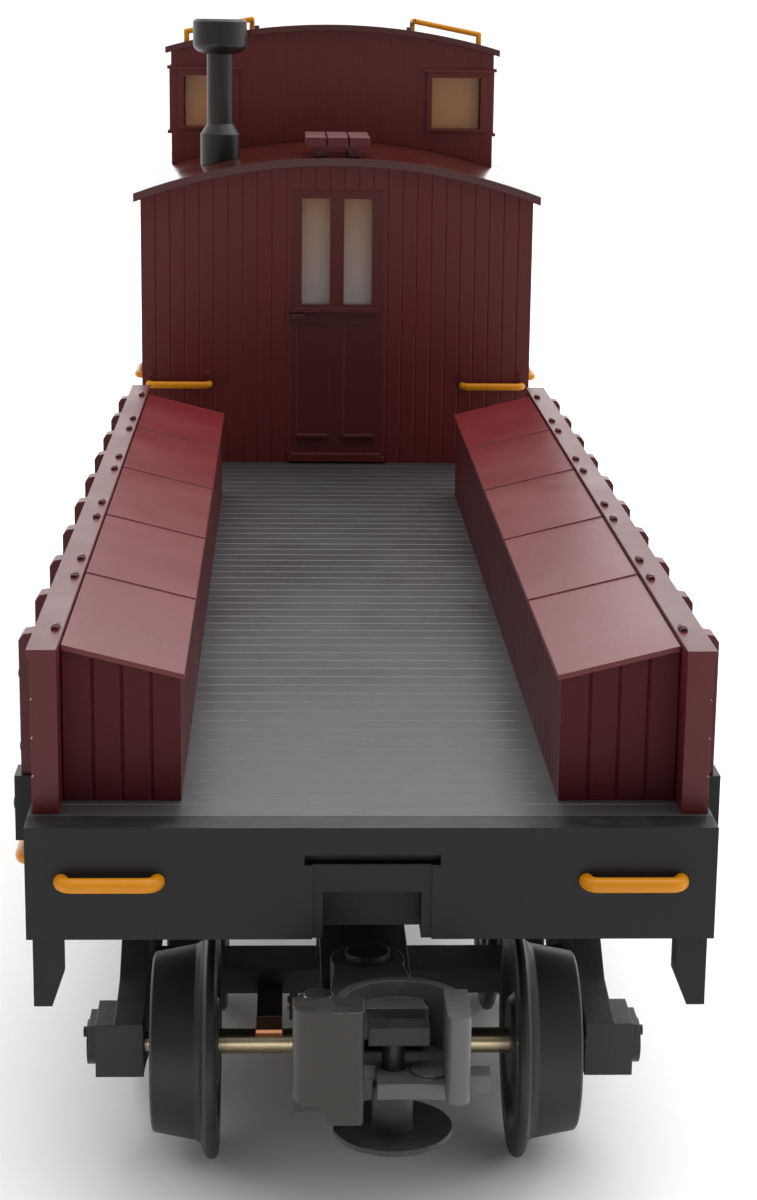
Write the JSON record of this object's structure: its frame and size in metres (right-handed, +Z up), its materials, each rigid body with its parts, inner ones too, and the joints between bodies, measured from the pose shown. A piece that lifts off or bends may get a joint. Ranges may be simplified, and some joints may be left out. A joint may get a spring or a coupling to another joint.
{
  "type": "model work caboose",
  "caption": "Model railway work caboose: open plank deck with staked sides and tool boxes, arch-roofed cabin with cupola, two swivelling four-wheel trucks with knuckle couplers.",
  "frame": {"origin": "below the middle of the car, on the plane that the wheel flanges stand on", "axes": "+Z up, +Y along the car from the open deck towards the cabin, +X across the car; the open deck's end faces -Y"},
  "size_m": [0.0644, 0.299, 0.1046],
  "materials": {
    "dark_frame": "moulded, slightly glossy dark plastic",
    "maroon_side": "moulded maroon plastic, satin gloss",
    "oxide_wall": "moulded oxide red plastic, satin gloss",
    "frosted_pane": "frosted translucent plastic",
    "black_plastic": "moulded black plastic",
    "yellow_wire": "painted yellow wire",
    "zinc_weight": "plain sheet steel",
    "green_board": "circuit board with two lamps",
    "steel_screw": "plated steel",
    "black_metal": "blackened die-cast metal",
    "axle_metal": "bare turned metal",
    "copper_strip": "bare copper sheet",
    "die_cast": "blackened die-cast metal, worn grey"
  },
  "bodies": {
    "car": {"underframe": "dark_frame", "bolster_pads": "dark_frame", "deck": "dark_frame", "corner_steps": "dark_frame", "side_wall_left": "maroon_side", "side_wall_right": "maroon_side", "toolbox_left": "maroon_side", "toolbox_right": "maroon_side", "toolbox_lids_left": "maroon_side", "toolbox_lids_right": "maroon_side", "cabin_shell": "oxide_wall", "cabin_roof": "oxide_wall", "window_glazing": "frosted_pane", "cupola_shell": "oxide_wall", "cupola_roof": "oxide_wall", "running_board": "maroon_side", "smoke_jack": "black_plastic", "sill_grab_irons": "yellow_wire", "cabin_grab_irons": "yellow_wire", "roof_grab_irons": "yellow_wire", "roof_ladder": "black_plastic", "brake_stand": "black_plastic", "ballast_weight": "zinc_weight", "light_board": "green_board", "frame_screws": "steel_screw", "front_end_sill": "dark_frame", "rear_end_sill": "dark_frame", "front_door": "oxide_wall", "rear_door": "oxide_wall", "rear_railing": "yellow_wire"},
    "hand_brake_wheel": {"brake_wheel": "black_plastic"},
    "front_truck": {"front_truck_frame": "black_metal", "front_side_frames": "black_metal", "front_axle_wiper": "copper_strip", "front_coupler_rivet": "steel_screw"},
    "front_outer_wheelset": {"front_outer_axle": "axle_metal", "front_outer_wheels": "black_metal"},
    "front_inner_wheelset": {"front_inner_axle": "axle_metal", "front_inner_wheels": "black_metal"},
    "front_coupler_head": {"front_coupler": "die_cast", "front_knuckle_pin": "steel_screw"},
    "front_coupler_knuckle": {"front_knuckle": "die_cast"},
    "front_uncoupling_plate": {"front_armature": "black_metal"},
    "front_contact_arm": {"front_pickup_arm": "copper_strip"},
    "front_contact_roller": {"front_pickup_roller": "axle_metal"},
    "rear_truck": {"rear_truck_frame": "black_metal", "rear_side_frames": "black_metal", "rear_axle_wiper": "copper_strip", "rear_coupler_rivet": "steel_screw"},
    "rear_outer_wheelset": {"rear_outer_axle": "axle_metal", "rear_outer_wheels": "black_metal"},
    "rear_inner_wheelset": {"rear_inner_axle": "axle_metal", "rear_inner_wheels": "black_metal"},
    "rear_coupler_head": {"rear_coupler": "die_cast", "rear_knuckle_pin": "steel_screw"},
    "rear_coupler_knuckle": {"rear_knuckle": "die_cast"},
    "rear_uncoupling_plate": {"rear_armature": "black_metal"},
    "rear_contact_arm": {"rear_pickup_arm": "copper_strip"},
    "rear_contact_roller": {"rear_pickup_roller": "axle_metal"}
  },
  "joints": [
    {"name": "brake_wheel_spin", "type": "hinge", "parent": "car", "child": "hand_brake_wheel", "pos_m": [-0.013, 0.1356, 0.0628], "axis": [0, 0, 1], "continuous": true},
    {"name": "front_truck_swivel", "type": "hinge", "parent": "car", "child": "front_truck", "pos_m": [0, -0.105, 0.022], "axis": [0, 0, 1], "range_deg": [-15, 15]},
    {"name": "front_outer_wheel_roll", "type": "hinge", "parent": "front_truck", "child": "front_outer_wheelset", "pos_m": [0, -0.1225, 0.011], "axis": [1, 0, 0], "continuous": true},
    {"name": "front_inner_wheel_roll", "type": "hinge", "parent": "front_truck", "child": "front_inner_wheelset", "pos_m": [0, -0.0875, 0.011], "axis": [1, 0, 0], "continuous": true},
    {"name": "front_coupler_swing", "type": "hinge", "parent": "front_truck", "child": "front_coupler_head", "pos_m": [0, -0.129, 0.0205], "axis": [0, 0, 1], "range_deg": [-12, 12]},
    {"name": "front_knuckle_open", "type": "hinge", "parent": "front_coupler_head", "child": "front_coupler_knuckle", "pos_m": [-0.0047, -0.1434, 0.0207], "axis": [0, 0, -1], "range_deg": [0, 45]},
    {"name": "front_plate_pull", "type": "slide", "parent": "front_coupler_head", "child": "front_uncoupling_plate", "axis": [0, 0, -1], "range_m": [0, 0.002], "stiffness_N_per_m": 60, "springref_m": -0.002},
    {"name": "front_contact_arm_lift", "type": "hinge", "parent": "front_truck", "child": "front_contact_arm", "pos_m": [0, -0.1068, 0.0082], "axis": [1, 0, 0], "range_deg": [0, 12], "stiffness_Nm_per_rad": 0.004, "springref_deg": -17.19},
    {"name": "front_roller_spin", "type": "hinge", "parent": "front_contact_arm", "child": "front_contact_roller", "pos_m": [0, -0.097, 0.004], "axis": [1, 0, 0], "continuous": true},
    {"name": "rear_truck_swivel", "type": "hinge", "parent": "car", "child": "rear_truck", "pos_m": [0, 0.105, 0.022], "axis": [0, 0, 1], "range_deg": [-15, 15]},
    {"name": "rear_outer_wheel_roll", "type": "hinge", "parent": "rear_truck", "child": "rear_outer_wheelset", "pos_m": [0, 0.1225, 0.011], "axis": [1, 0, 0], "continuous": true},
    {"name": "rear_inner_wheel_roll", "type": "hinge", "parent": "rear_truck", "child": "rear_inner_wheelset", "pos_m": [0, 0.0875, 0.011], "axis": [1, 0, 0], "continuous": true},
    {"name": "rear_coupler_swing", "type": "hinge", "parent": "rear_truck", "child": "rear_coupler_head", "pos_m": [0, 0.129, 0.0205], "axis": [0, 0, 1], "range_deg": [-12, 12]},
    {"name": "rear_knuckle_open", "type": "hinge", "parent": "rear_coupler_head", "child": "rear_coupler_knuckle", "pos_m": [0.0047, 0.1434, 0.0207], "axis": [0, 0, -1], "range_deg": [0, 45]},
    {"name": "rear_plate_pull", "type": "slide", "parent": "rear_coupler_head", "child": "rear_uncoupling_plate", "axis": [0, 0, -1], "range_m": [0, 0.002], "stiffness_N_per_m": 60, "springref_m": -0.002},
    {"name": "rear_contact_arm_lift", "type": "hinge", "parent": "rear_truck", "child": "rear_contact_arm", "pos_m": [0, 0.1068, 0.0082], "axis": [-1, 0, 0], "range_deg": [0, 12], "stiffness_Nm_per_rad": 0.004, "springref_deg": -17.19},
    {"name": "rear_roller_spin", "type": "hinge", "parent": "rear_contact_arm", "child": "rear_contact_roller", "pos_m": [0, 0.097, 0.004], "axis": [1, 0, 0], "continuous": true}
  ]
}
